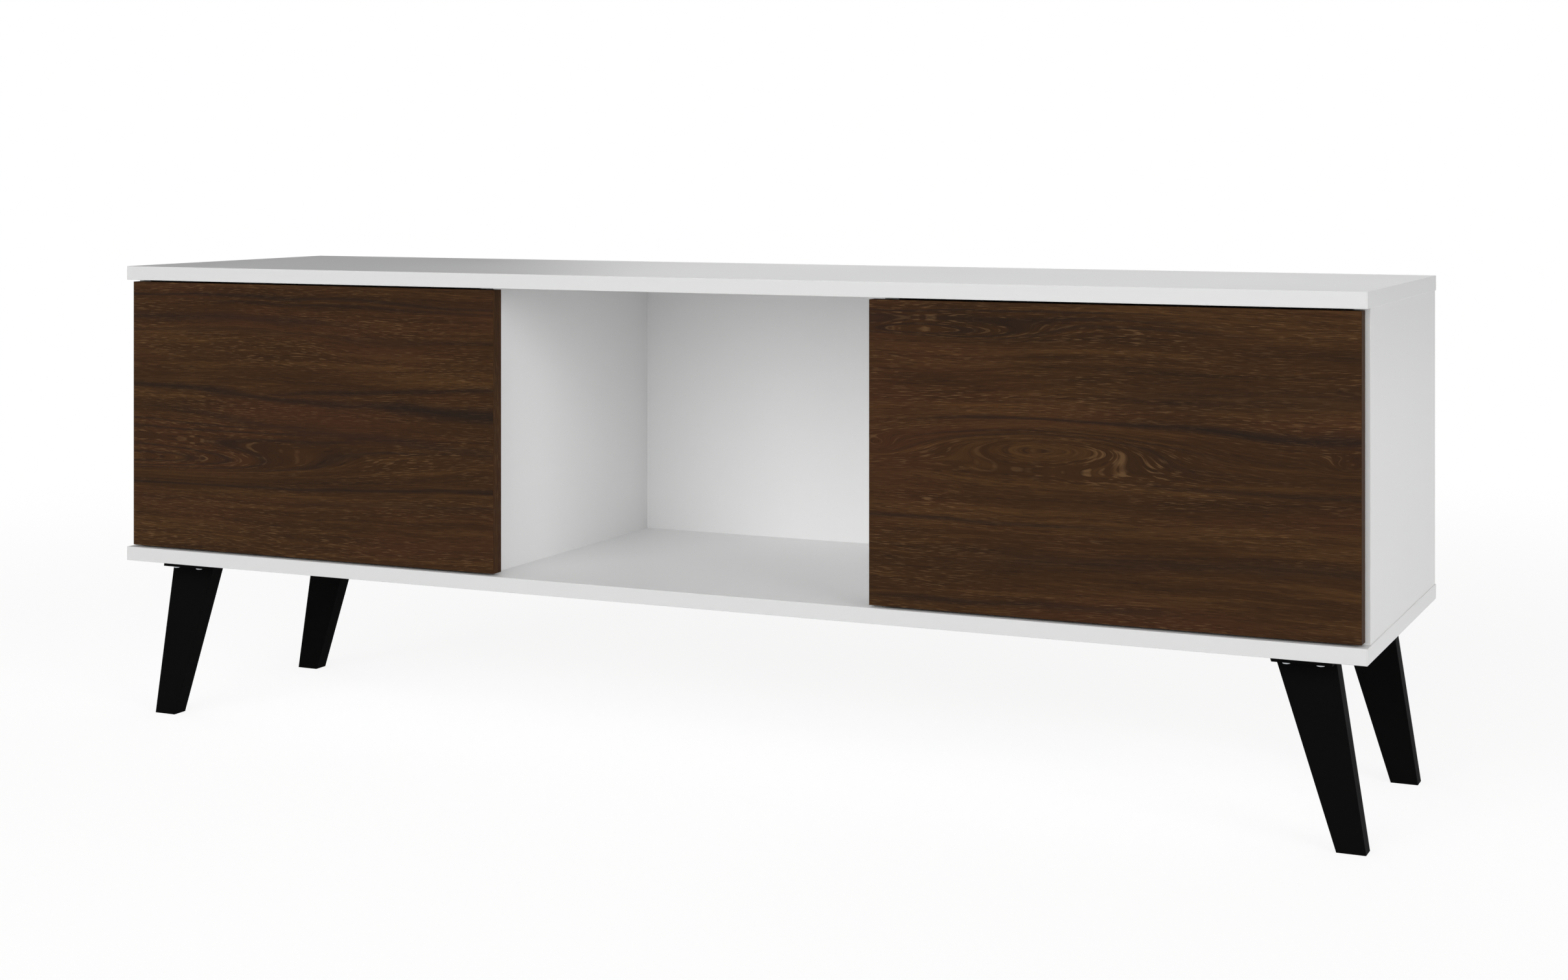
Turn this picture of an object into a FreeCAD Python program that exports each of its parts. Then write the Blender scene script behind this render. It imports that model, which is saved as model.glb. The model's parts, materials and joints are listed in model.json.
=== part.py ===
import FreeCAD, Part

import math
import os

# Media cabinet: a white board carcass with an open niche between two side-hung
# doors, on four splayed legs. Millimetres, +X to the right, the doors face -Y,
# +Z up. The origin is on the floor, under the middle of the whole cabinet.

Vec = FreeCAD.Vector

# ---------------------------------------------------------------- driving sizes
# carcass
WIDTH = 1350.0             # length of the top and bottom panels
CARCASS_DEPTH = 357.0      # front to back of the top and bottom panels
UPRIGHT_HEIGHT = 293.5     # between the bottom and the top panel
NICHE_WIDTH = 434.6        # clear width between the dividers
BOARD = 15.0               # board thickness
SIDE_INSET = 1.0           # side panels stand in from the panel ends
EDGE_ROUND = 0.5           # rounding of the edge bands
BACK_THICKNESS = 3.0       # hardboard
BACK_INSET = 3.0           # hardboard's edge inside the carcass outline

# doors
DOOR_THICKNESS = 15.0
DOOR_SETBACK = 3.8         # door front behind the front edge of the top
DOOR_END_INSET = 5.7       # door's outer edge in from the panel ends
DOOR_GAP = 2.0             # above and below the door
DOOR_STANDOFF = 1.2        # between door and upright edges
GRIP_OVERHANG = 10.0       # door's inner edge past the divider, for fingers

# legs
LEG_HEIGHT = 174.5
LEG_TOP_OUTER = 35.3       # from the panel end to the leg's outer edge at the top
LEG_TOP_WIDTH = 55.3
LEG_FOOT_OUTER = 8.3       # the same at the floor
LEG_FOOT_WIDTH = 26.5
LEG_THICKNESS = 19.0
LEG_SETBACK = 37.2         # leg's face from the front or back edge of the bottom
LEG_ROUND = 0.8
FLANGE_THICKNESS = 7.0
FLANGE_LIP = 17.2          # flange past each face of the leg

# fasteners
FIT = 0.05                 # radial clearance of pins, screws and dowels
HOLE_END_GAP = 1.0         # hole deeper than what it holds
DOWEL_RADIUS = 4.0
DOWEL_LENGTH = 30.0
DOWEL_IN_PANEL = 10.0
DOWEL_CHAMFER = 0.8
DOWEL_INSET = 35.0         # from the front and back edges of an upright
CAM_INSET = 70.0
CAM_DISTANCE = 24.0        # cam centre below the top of the upright
CAM_RADIUS = 7.4
CAM_THROAT_GAP = 0.3       # round the pin's head, inside the cam
CAM_END_WALL = 1.5         # cam past its throat
PIN_THREAD_RADIUS = 2.4
PIN_THREAD_LENGTH = 10.0
PIN_COLLAR_RADIUS = 3.4
PIN_COLLAR_LENGTH = 1.5
PIN_SHAFT_RADIUS = 1.8
PIN_HEAD_RADIUS = 3.0
PIN_HEAD_LENGTH = 3.0
BASE_SCREW_HEAD_RADIUS = 5.0
BASE_SCREW_SHANK_RADIUS = 3.5
BASE_SCREW_THREAD_RADIUS = 2.5
BASE_SCREW_THREAD_LENGTH = 35.0
BASE_SCREW_SOCKET_RADIUS = 2.3
LEG_SCREW_HEAD_RADIUS = 4.0
LEG_SCREW_HEAD_HEIGHT = 2.2
LEG_SCREW_RADIUS = 2.0
LEG_SCREW_BITE = 10.5      # length in the bottom panel
LEG_SCREW_INSET = 12.0     # from the ends of the flange
NAIL_RADIUS = 0.7
NAIL_BITE = 11.0
NAIL_HEAD_RADIUS = 2.2
NAIL_HEAD_HEIGHT = 0.8
NAIL_PITCH = 155.0
RECESS_WIDTH = 0.9         # cross recess of the screw heads
RECESS_DEPTH = 1.0
RECESS_REACH = 0.62        # share of the head's radius
SCREW_TIP = 0.25           # tip's radius, as a share of the shank's
HEAD_ROUND = 0.45          # rounding, as a share of the head's height
SCREW_PLAY = 0.1           # round a hinge screw in the metal it holds
LEG_SCREW_PLAY = 0.25      # round a leg screw in the flange

# concealed hinges: u runs inwards from the door's outer edge, v forwards from
# the door's back face, with the door shut
HINGE_END_DISTANCE = 60.0  # hinge middle from the door's top and bottom edges
CUP_EDGE_DISTANCE = 5.1    # from the door's outer edge to the cup
CUP_RADIUS = 17.4
CUP_DEPTH = 11.7
CUP_BORE_CLEARANCE = 0.1
CUP_WALL = 0.6
POCKET_HALF_WIDTH = 6.0
CUP_FLOOR = 1.2
CUP_FLANGE_THICKNESS = 1.0
CUP_FLANGE_SPAN = (-6.0, 13.0)  # from the cup's centre, along u
CUP_FLANGE_CORNER = 6.0
CUP_FLANGE_HALF_LENGTH = 29.0
CUP_SCREW_OFFSET_U = 6.0
CUP_SCREW_HALF_SPACING = 24.0
ARM_OUTER_PIVOT = (21.9, 0.65)
CUP_OUTER_PIVOT = (8.7, 2.85)
ARM_INNER_PIVOT = (34.0, 7.8)
CUP_INNER_PIVOT = (13.3, 2.9)
PIVOT_RADIUS = 1.25
EYE_RADIUS = 2.0
LINK_HALF_WIDTH = 1.5
OUTER_LINK_BULGE = 6.8     # the outer link bows round the rim of the cup
OPEN_END_CLEARANCE = 1.5   # between the inner link's hollow end and its pin in the cup
TONGUE_HALF_WIDTH = 2.0    # along Z: tongue, then outer link plates, then inner link plates
LINK_SIDE_GAP = 0.2
LINK_PLATE = 1.2
OUTER_LINK_LAYER = 0
INNER_LINK_LAYER = 1
TONGUE_EDGE = 2.2          # tongue's metal round its pivots
PIN_SEAT = 3.0             # cup pins' length in the walls of the cup
PLATE_THICKNESS = 2.0
PLATE_HALF_LENGTH = 24.0
PLATE_V = (-45.0, -29.0)
PLATE_CORNER = 5.0
RAIL_HEIGHT = 7.5
RAIL_HALF_WIDTH = 6.2
RAIL_V = (-66.0, -25.0)
ARM_V = (-70.0, -18.0)
ARM_HALF_WIDTH = 8.0
ARM_WALL = 1.5
ARM_WEB = 2.0
ARM_SEAT_GAP = 0.2
ARM_WALL_GAP = 1.0         # between the arm's walls and the mounting plate
TONGUE_ROOT_V = -10.0      # where the tongue meets the arm's neck
TONGUE_ROOT_SHIFT = (4.0, 2.0)  # the root's corners, inward of the outer and inner pivots
NECK_SPAN = (1.0, -2.0)    # the neck's front end, before and behind the root
NECK_REACH = 10.0          # neck along the web
NECK_RISE = 4.0            # neck above the web
PLATE_SCREW_HALF_SPACING = 16.0
PLATE_SCREW_RADIUS = 1.8
PLATE_SCREW_BITE = 10.0
PLATE_SCREW_HEAD_RADIUS = 3.4
PLATE_SCREW_HEAD_HEIGHT = 1.8
CUP_SCREW_RADIUS = 1.7
CUP_SCREW_BITE = 10.0
CUP_SCREW_HEAD_RADIUS = 3.4
CUP_SCREW_HEAD_HEIGHT = 1.6
ARM_SCREW_RADIUS = 2.4
ARM_SCREW_HEAD_RADIUS = 3.8
ARM_SCREW_HEAD_HEIGHT = 2.4
ARM_SCREW_END_GAP = 1.5    # between the arm screws and the side panel
CLAMP_SCREW_V = -58.0
ADJUST_SCREW_V = -34.0

# ---------------------------------------------------------------- derived places
HALF_WIDTH = WIDTH / 2
FRONT = -(CARCASS_DEPTH + BACK_THICKNESS + NAIL_HEAD_HEIGHT) / 2
CARCASS_BACK = FRONT + CARCASS_DEPTH
BACK_FACE = CARCASS_BACK + BACK_THICKNESS
DOOR_FRONT = FRONT + DOOR_SETBACK
DOOR_BACK = DOOR_FRONT + DOOR_THICKNESS
UPRIGHT_FRONT = DOOR_BACK + DOOR_STANDOFF

BASE_LOW = LEG_HEIGHT
BASE_HIGH = BASE_LOW + BOARD
TOP_LOW = BASE_HIGH + UPRIGHT_HEIGHT
TOP_HIGH = TOP_LOW + BOARD

SIDE_OUTER = HALF_WIDTH - SIDE_INSET
SIDE_INNER = SIDE_OUTER - BOARD
NICHE_HALF = NICHE_WIDTH / 2
DIVIDER_OUTER = NICHE_HALF + BOARD
DOOR_OUTER = HALF_WIDTH - DOOR_END_INSET
DOOR_INNER = NICHE_HALF - GRIP_OVERHANG
DOOR_LOW = BASE_HIGH + DOOR_GAP
DOOR_HIGH = TOP_LOW - DOOR_GAP
HINGE_LEVELS = {"upper": DOOR_HIGH - HINGE_END_DISTANCE, "lower": DOOR_LOW + HINGE_END_DISTANCE}

CAM_DEPTH = BOARD / 2 + PIN_HEAD_RADIUS + CAM_THROAT_GAP + CAM_END_WALL
CUP_CENTRE_U = CUP_EDGE_DISTANCE + CUP_RADIUS
POCKET_RADIUS = CUP_RADIUS - CUP_WALL
POCKET_DEPTH = CUP_DEPTH - CUP_FLOOR

# each upright: its span in x, and the side that faces a closed compartment
UPRIGHTS = {
    "left_side_panel": (-SIDE_OUTER, -SIDE_INNER, 1),
    "left_divider": (-DIVIDER_OUTER, -NICHE_HALF, -1),
    "right_divider": (NICHE_HALF, DIVIDER_OUTER, 1),
    "right_side_panel": (SIDE_INNER, SIDE_OUTER, -1),
}


# ---------------------------------------------------------------- small helpers
def box(x0, x1, y0, y1, z0, z1):
    return Part.makeBox(x1 - x0, y1 - y0, z1 - z0, Vec(x0, y0, z0))


def rod(radius, start, direction, length):
    return Part.makeCylinder(radius, length, start, direction)


def round_edges(shape, radius, wanted):
    edges = [edge for edge in shape.Edges if wanted(edge)]
    return shape.makeFillet(radius, edges)


def edge_runs(edge, axis, length):
    first, last = edge.Vertexes[0].Point, edge.Vertexes[-1].Point
    return abs(abs(getattr(last - first, axis)) - length) < 0.01


def along(start, direction, distance):
    return start + direction * distance


def cross_recess(face_centre, inward, radius):
    """A cross cut into a screw head, from its outer face inwards."""
    reach = radius * RECESS_REACH
    tool = None
    for turn in (0, 90):
        slit = Part.makeBox(2 * reach, RECESS_WIDTH, RECESS_DEPTH, Vec(-reach, -RECESS_WIDTH / 2, 0))
        slit.rotate(Vec(0, 0, 0), Vec(0, 0, 1), turn)
        tool = slit if tool is None else tool.fuse(slit)
    tool.Placement = FreeCAD.Placement(face_centre, FreeCAD.Rotation(Vec(0, 0, 1), inward))
    return tool


def pan_screw(seat, inward, radius, length, head_radius, head_height):
    """A screw whose head sits on the point seat and whose shank runs inwards."""
    shank = rod(radius, seat, inward, length - radius)
    tip = Part.makeCone(radius, radius * SCREW_TIP, radius, along(seat, inward, length - radius), inward)
    head = rod(head_radius, along(seat, inward, -head_height), inward, head_height)
    head = round_edges(head, head_height * HEAD_ROUND, lambda edge: edge.Closed
                       and abs((edge.CenterOfMass - seat).dot(inward) + head_height) < 0.01)
    head = head.cut(cross_recess(along(seat, inward, -head_height), inward, head_radius))
    return shank.fuse([tip, head]).removeSplitter()


def export(name, solids):
    shape = solids[0] if len(solids) == 1 else Part.makeCompound(solids)
    shape.exportStep("parts/" + name + ".step")


# ---------------------------------------------------------------- carcass fasteners
def stations(inset):
    """Places along an upright's depth, the same from the front and from the back."""
    return (UPRIGHT_FRONT + inset, CARCASS_BACK - inset)


def upright_middle(name):
    x0, x1, facing = UPRIGHTS[name]
    return (x0 + x1) / 2


def dowel(x, y, joint_z, into_upright):
    start = Vec(x, y, joint_z - into_upright * DOWEL_IN_PANEL)
    solid = rod(DOWEL_RADIUS, start, Vec(0, 0, into_upright), DOWEL_LENGTH)
    return solid.makeChamfer(DOWEL_CHAMFER, [edge for edge in solid.Edges if edge.Closed])


def dowel_hole(x, y, joint_z, direction, length):
    return rod(DOWEL_RADIUS + FIT, Vec(x, y, joint_z), Vec(0, 0, direction), length + HOLE_END_GAP)


def cam_pin(x, y):
    down = Vec(0, 0, -1)
    joint = Vec(x, y, TOP_LOW)
    thread = rod(PIN_THREAD_RADIUS, along(joint, down, -PIN_THREAD_LENGTH), down, PIN_THREAD_LENGTH)
    collar = rod(PIN_COLLAR_RADIUS, joint, down, PIN_COLLAR_LENGTH)
    shaft = rod(PIN_SHAFT_RADIUS, joint, down, CAM_DISTANCE)
    head_top = along(joint, down, CAM_DISTANCE - PIN_HEAD_LENGTH / 2)
    head = rod(PIN_HEAD_RADIUS, head_top, down, PIN_HEAD_LENGTH)
    return thread.fuse([collar, shaft, head]).removeSplitter()


def cam_pin_holes(x, y):
    joint = Vec(x, y, TOP_LOW)
    thread = rod(PIN_THREAD_RADIUS + FIT, joint, Vec(0, 0, 1), PIN_THREAD_LENGTH + HOLE_END_GAP)
    shaft = rod(PIN_COLLAR_RADIUS + FIT, joint, Vec(0, 0, -1), CAM_DISTANCE)
    return thread, shaft


def cam_lock(name, y):
    x0, x1, facing = UPRIGHTS[name]
    face = Vec(x1 if facing > 0 else x0, y, TOP_LOW - CAM_DISTANCE)
    inward = Vec(-facing, 0, 0)
    body = rod(CAM_RADIUS, face, inward, CAM_DEPTH)
    pin_x = upright_middle(name)
    reach = PIN_HEAD_LENGTH / 2 + CAM_THROAT_GAP
    throat = rod(PIN_HEAD_RADIUS + CAM_THROAT_GAP, Vec(pin_x, y, face.z - reach), Vec(0, 0, 1), CAM_RADIUS + reach + 1)
    return body.cut([throat, cross_recess(face, inward, CAM_RADIUS)])


def cam_pocket(name, y):
    x0, x1, facing = UPRIGHTS[name]
    face = Vec(x1 if facing > 0 else x0, y, TOP_LOW - CAM_DISTANCE)
    return rod(CAM_RADIUS + FIT, face, Vec(-facing, 0, 0), CAM_DEPTH + FIT)


def base_screw_shapes(x, y, grow, extra):
    up = Vec(0, 0, 1)
    low = Vec(x, y, BASE_LOW)
    cone_height = BASE_SCREW_HEAD_RADIUS - BASE_SCREW_SHANK_RADIUS
    head = Part.makeCone(BASE_SCREW_HEAD_RADIUS + grow, BASE_SCREW_SHANK_RADIUS + grow, cone_height, low, up)
    shank = rod(BASE_SCREW_SHANK_RADIUS + grow, low, up, BOARD)
    thread = rod(BASE_SCREW_THREAD_RADIUS + grow, along(low, up, BOARD), up, BASE_SCREW_THREAD_LENGTH + extra)
    return head, shank, thread


def base_screw(x, y):
    head, shank, thread = base_screw_shapes(x, y, 0, 0)
    socket = Part.makePolygon([
        Vec(x + BASE_SCREW_SOCKET_RADIUS * math.cos(math.radians(60 * k)),
            y + BASE_SCREW_SOCKET_RADIUS * math.sin(math.radians(60 * k)), BASE_LOW)
        for k in range(7)])
    socket = Part.Face(socket).extrude(Vec(0, 0, BASE_SCREW_SOCKET_RADIUS))
    return head.fuse([shank, thread]).cut(socket).removeSplitter()


# ---------------------------------------------------------------- back and nails
def nail_places():
    """Nails in the panels' back edges every pitch, and up each upright between them."""
    count = max(2, math.ceil((WIDTH - 2 * DOWEL_INSET) / NAIL_PITCH))
    span = WIDTH - 2 * DOWEL_INSET
    places = []
    for z in (BASE_LOW + BOARD / 2, TOP_LOW + BOARD / 2):
        places += [(-span / 2 + span * k / count, z) for k in range(count + 1)]
    rows = max(2, math.ceil(UPRIGHT_HEIGHT / NAIL_PITCH))
    for name in UPRIGHTS:
        places += [(upright_middle(name), BASE_HIGH + UPRIGHT_HEIGHT * (k + 0.5) / rows) for k in range(rows)]
    return places


def nail(x, z):
    head = rod(NAIL_HEAD_RADIUS, Vec(x, BACK_FACE, z), Vec(0, 1, 0), NAIL_HEAD_HEIGHT)
    shank = rod(NAIL_RADIUS, Vec(x, BACK_FACE, z), Vec(0, -1, 0), BACK_THICKNESS + NAIL_BITE)
    return head.fuse(shank)


def nail_hole(x, z):
    return rod(NAIL_RADIUS + FIT, Vec(x, BACK_FACE, z), Vec(0, -1, 0), BACK_THICKNESS + NAIL_BITE + HOLE_END_GAP)


# ---------------------------------------------------------------- legs
def leg_outline_at(height):
    """Inner and outer edge of a front right leg at a height over the floor."""
    share = height / LEG_HEIGHT
    outer = LEG_FOOT_OUTER + (LEG_TOP_OUTER - LEG_FOOT_OUTER) * share
    width = LEG_FOOT_WIDTH + (LEG_TOP_WIDTH - LEG_FOOT_WIDTH) * share
    return HALF_WIDTH - outer - width, HALF_WIDTH - outer


def leg_slice(low, high, y0, y1):
    low_in, low_out = leg_outline_at(low)
    high_in, high_out = leg_outline_at(high)
    corners = [(low_in, low), (low_out, low), (high_out, high), (high_in, high)]
    wire = Part.makePolygon([Vec(x, y0, z) for x, z in corners + corners[:1]])
    return Part.Face(wire).extrude(Vec(0, y1 - y0, 0))


def leg_screw_places():
    """Two screws in the flange's lip in front of the leg and two behind it."""
    inner, outer = leg_outline_at(LEG_HEIGHT - FLANGE_THICKNESS)
    front_lip = FRONT + LEG_SETBACK - FLANGE_LIP / 2
    back_lip = FRONT + LEG_SETBACK + LEG_THICKNESS + FLANGE_LIP / 2
    return [(x, y) for x in (inner + LEG_SCREW_INSET, outer - LEG_SCREW_INSET) for y in (front_lip, back_lip)]


def front_right_leg():
    face = FRONT + LEG_SETBACK
    board = leg_slice(0, LEG_HEIGHT, face, face + LEG_THICKNESS)
    slanted = [edge for edge in board.Edges if abs(edge.Vertexes[0].Z - edge.Vertexes[-1].Z) > LEG_HEIGHT - 1]
    board = board.makeFillet(LEG_ROUND, slanted)
    flange = leg_slice(LEG_HEIGHT - FLANGE_THICKNESS, LEG_HEIGHT,
                       face - FLANGE_LIP, face + LEG_THICKNESS + FLANGE_LIP)
    holes = [rod(LEG_SCREW_RADIUS + LEG_SCREW_PLAY, Vec(x, y, 0), Vec(0, 0, 1), LEG_HEIGHT + 1)
             for x, y in leg_screw_places()]
    return board.fuse(flange).cut(holes)


def leg_screw(x, y):
    seat = Vec(x, y, LEG_HEIGHT - FLANGE_THICKNESS)
    return pan_screw(seat, Vec(0, 0, 1), LEG_SCREW_RADIUS, FLANGE_THICKNESS + LEG_SCREW_BITE,
                     LEG_SCREW_HEAD_RADIUS, LEG_SCREW_HEAD_HEIGHT)


def leg_screw_hole(x, y):
    return rod(LEG_SCREW_RADIUS + FIT, Vec(x, y, BASE_LOW), Vec(0, 0, 1), LEG_SCREW_BITE + HOLE_END_GAP)


def mirror_x(shape):
    return shape.mirror(Vec(0, 0, 0), Vec(1, 0, 0))


def mirror_carcass_depth(shape):
    """Front to back about the middle of the top and bottom panels."""
    return shape.mirror(Vec(0, (FRONT + CARCASS_BACK) / 2, 0), Vec(0, 1, 0))


def four_corners(shape):
    """A front right shape at the four corners of the carcass."""
    back = mirror_carcass_depth(shape)
    return {"front_right": shape, "front_left": mirror_x(shape), "back_right": back, "back_left": mirror_x(back)}


# ---------------------------------------------------------------- concealed hinge
# Left door. The plan point (u, v) and the level z of a hinge's middle give the
# place; the right door's hinges are mirrored.
def at(u, v, z):
    return Vec(-DOOR_OUTER + u, DOOR_BACK - v, z)


def prism(points, z0, z1):
    wire = Part.makePolygon([at(u, v, z0) for u, v in points + points[:1]])
    return Part.Face(wire).extrude(Vec(0, 0, z1 - z0))


def disc(centre, radius, z0, z1):
    return rod(radius, at(centre[0], centre[1], z0), Vec(0, 0, 1), z1 - z0)


def bar(start, end, half_width, z0, z1):
    """A straight strip between two plan points."""
    run = math.hypot(end[0] - start[0], end[1] - start[1])
    side = (-(end[1] - start[1]) / run * half_width, (end[0] - start[0]) / run * half_width)
    points = [(start[0] + side[0], start[1] + side[1]), (end[0] + side[0], end[1] + side[1]),
              (end[0] - side[0], end[1] - side[1]), (start[0] - side[0], start[1] - side[1])]
    return prism(points, z0, z1)


def bowed_bar(start, end, bulge, half_width, z0, z1):
    """A strip along the arc that stands bulge off the line between two plan points."""
    chord = math.hypot(end[0] - start[0], end[1] - start[1])
    normal = (-(end[1] - start[1]) / chord, (end[0] - start[0]) / chord)
    radius = (chord * chord / 4 + bulge * bulge) / (2 * bulge)
    middle = ((start[0] + end[0]) / 2, (start[1] + end[1]) / 2)
    centre = (middle[0] + normal[0] * (bulge - radius), middle[1] + normal[1] * (bulge - radius))

    def on_arc(point, reach):
        du, dv = point[0] - centre[0], point[1] - centre[1]
        scale = reach / math.hypot(du, dv)
        return at(centre[0] + du * scale, centre[1] + dv * scale, z0)

    crown = (centre[0] + normal[0] * radius, centre[1] + normal[1] * radius)
    wide, narrow = radius + half_width, radius - half_width
    outer = Part.Arc(on_arc(start, wide), on_arc(crown, wide), on_arc(end, wide)).toShape()
    inner = Part.Arc(on_arc(end, narrow), on_arc(crown, narrow), on_arc(start, narrow)).toShape()
    ends = [Part.LineSegment(on_arc(end, wide), on_arc(end, narrow)).toShape(),
            Part.LineSegment(on_arc(start, narrow), on_arc(start, wide)).toShape()]
    return Part.Face(Part.Wire([outer, ends[0], inner, ends[1]])).extrude(Vec(0, 0, z1 - z0))


def plate_layer(order):
    """Distances along Z from the hinge's middle to a link plate: 0 outer link, 1 inner link."""
    near = TONGUE_HALF_WIDTH + LINK_SIDE_GAP + order * (LINK_PLATE + LINK_SIDE_GAP)
    return near, near + LINK_PLATE


def both_sides(make, near, far, z):
    """The same plate above and below the hinge's middle plane."""
    return [make(z + near, z + far), make(z - far, z - near)]


def outer_link(z):
    def plate(z0, z1):
        bow = bowed_bar(CUP_OUTER_PIVOT, ARM_OUTER_PIVOT, OUTER_LINK_BULGE, LINK_HALF_WIDTH, z0, z1)
        eyes = [disc(pivot, EYE_RADIUS, z0, z1) for pivot in (CUP_OUTER_PIVOT, ARM_OUTER_PIVOT)]
        holes = [disc(pivot, PIVOT_RADIUS + FIT, z0, z1) for pivot in (CUP_OUTER_PIVOT, ARM_OUTER_PIVOT)]
        return bow.fuse(eyes).cut(holes)
    return both_sides(plate, *plate_layer(OUTER_LINK_LAYER), z)


def inner_link(z):
    def plate(z0, z1):
        run = bar(ARM_INNER_PIVOT, CUP_INNER_PIVOT, LINK_HALF_WIDTH, z0, z1)
        eye = disc(ARM_INNER_PIVOT, EYE_RADIUS, z0, z1)
        hole = disc(ARM_INNER_PIVOT, PIVOT_RADIUS + FIT, z0, z1)
        hollow_end = disc(CUP_INNER_PIVOT, PIVOT_RADIUS + OPEN_END_CLEARANCE, z0, z1)
        return run.fuse(eye).cut([hole, hollow_end])
    return both_sides(plate, *plate_layer(INNER_LINK_LAYER), z)


def web_underside():
    """The arm's web over the mounting plate's rail, as a distance u."""
    return plate_face() + RAIL_HEIGHT + ARM_SEAT_GAP


def plate_face():
    """The side panel's inner face, as a distance u."""
    return DOOR_OUTER - SIDE_INNER


def hinge_arm(z):
    low = web_underside()
    high = low + ARM_WEB
    near_v, far_v = ARM_V[1], ARM_V[0]
    web = prism([(low, far_v), (high, far_v), (high, near_v), (low, near_v)], z - ARM_HALF_WIDTH, z + ARM_HALF_WIDTH)
    wall_low = plate_face() + PLATE_THICKNESS + ARM_WALL_GAP
    walls = both_sides(
        lambda z0, z1: prism([(wall_low, far_v), (low, far_v), (low, near_v), (wall_low, near_v)], z0, z1),
        ARM_HALF_WIDTH - ARM_WALL, ARM_HALF_WIDTH, z)
    z0, z1 = z - TONGUE_HALF_WIDTH, z + TONGUE_HALF_WIDTH
    root_near = (ARM_OUTER_PIVOT[0] + TONGUE_ROOT_SHIFT[0], TONGUE_ROOT_V)
    root_far = (ARM_INNER_PIVOT[0] + TONGUE_ROOT_SHIFT[1], TONGUE_ROOT_V)
    tongue = prism([ARM_OUTER_PIVOT, ARM_INNER_PIVOT, root_far, root_near], z0, z1)
    rim = [disc(point, TONGUE_EDGE, z0, z1) for point in (ARM_OUTER_PIVOT, ARM_INNER_PIVOT, root_far)]
    rim += [bar(a, b, TONGUE_EDGE, z0, z1) for a, b in
            ((ARM_OUTER_PIVOT, ARM_INNER_PIVOT), (ARM_INNER_PIVOT, root_far), (ARM_OUTER_PIVOT, root_near))]
    neck_front, neck_back = TONGUE_ROOT_V + NECK_SPAN[0], TONGUE_ROOT_V + NECK_SPAN[1]
    neck_far = root_far[0] + TONGUE_EDGE
    neck = prism([(root_near[0] - TONGUE_EDGE, neck_front), (neck_far, neck_front), (neck_far, neck_back),
                  (high + NECK_RISE, near_v - NECK_REACH), (low, near_v - NECK_REACH), (low, near_v)], z0, z1)
    arm = web.fuse(walls + [tongue, neck] + rim)
    holes = [disc(pivot, PIVOT_RADIUS + FIT, z0, z1) for pivot in (ARM_OUTER_PIVOT, ARM_INNER_PIVOT)]
    holes += [rod(ARM_SCREW_RADIUS + SCREW_PLAY, at(low - 1, v, z), Vec(1, 0, 0), ARM_WEB + 2)
              for v in (CLAMP_SCREW_V, ADJUST_SCREW_V)]
    return arm.cut(holes).removeSplitter()


def mounting_plate(z):
    face = plate_face()
    top = face + PLATE_THICKNESS
    wings = prism([(face, PLATE_V[0]), (top, PLATE_V[0]), (top, PLATE_V[1]), (face, PLATE_V[1])],
                  z - PLATE_HALF_LENGTH, z + PLATE_HALF_LENGTH)
    wings = round_edges(wings, PLATE_CORNER, lambda e: edge_runs(e, "x", PLATE_THICKNESS))
    rail_top = face + RAIL_HEIGHT
    rail = prism([(face, RAIL_V[0]), (rail_top, RAIL_V[0]), (rail_top, RAIL_V[1]), (face, RAIL_V[1])],
                 z - RAIL_HALF_WIDTH, z + RAIL_HALF_WIDTH)
    holes = [rod(PLATE_SCREW_RADIUS + FIT, at(face - 1, plate_screw_v(), z + side * PLATE_SCREW_HALF_SPACING),
                 Vec(1, 0, 0), PLATE_THICKNESS + 2) for side in (-1, 1)]
    holes += [rod(ARM_SCREW_RADIUS + FIT, at(rail_top + 1, v, z), Vec(-1, 0, 0), RAIL_HEIGHT)
              for v in (CLAMP_SCREW_V, ADJUST_SCREW_V)]
    return wings.fuse(rail).cut(holes).removeSplitter()


def plate_screw_v():
    return (PLATE_V[0] + PLATE_V[1]) / 2


def plate_screws(z):
    seat_u = plate_face() + PLATE_THICKNESS
    return [pan_screw(at(seat_u, plate_screw_v(), z + side * PLATE_SCREW_HALF_SPACING), Vec(-1, 0, 0),
                      PLATE_SCREW_RADIUS, PLATE_THICKNESS + PLATE_SCREW_BITE, PLATE_SCREW_HEAD_RADIUS,
                      PLATE_SCREW_HEAD_HEIGHT) for side in (-1, 1)]


def plate_screw_holes(z):
    return [rod(PLATE_SCREW_RADIUS + FIT, at(plate_face(), plate_screw_v(), z + side * PLATE_SCREW_HALF_SPACING),
                Vec(-1, 0, 0), PLATE_SCREW_BITE + HOLE_END_GAP) for side in (-1, 1)]


def arm_screws(z):
    seat_u = web_underside() + ARM_WEB
    return [pan_screw(at(seat_u, v, z), Vec(-1, 0, 0), ARM_SCREW_RADIUS, ARM_WEB + RAIL_HEIGHT - ARM_SCREW_END_GAP,
                      ARM_SCREW_HEAD_RADIUS, ARM_SCREW_HEAD_HEIGHT) for v in (CLAMP_SCREW_V, ADJUST_SCREW_V)]


def arm_pins(z):
    pins = []
    for pivot, order in ((ARM_OUTER_PIVOT, OUTER_LINK_LAYER), (ARM_INNER_PIVOT, INNER_LINK_LAYER)):
        reach = plate_layer(order)[1]
        pins.append(disc(pivot, PIVOT_RADIUS, z - reach, z + reach))
    return pins


def cup_pins(z):
    pins = []
    for pivot, order in ((CUP_OUTER_PIVOT, OUTER_LINK_LAYER), (CUP_INNER_PIVOT, INNER_LINK_LAYER)):
        near = plate_layer(order)[0]
        pins += both_sides(lambda z0, z1: disc(pivot, PIVOT_RADIUS, z0, z1), near, POCKET_HALF_WIDTH + PIN_SEAT, z)
    return pins


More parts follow.
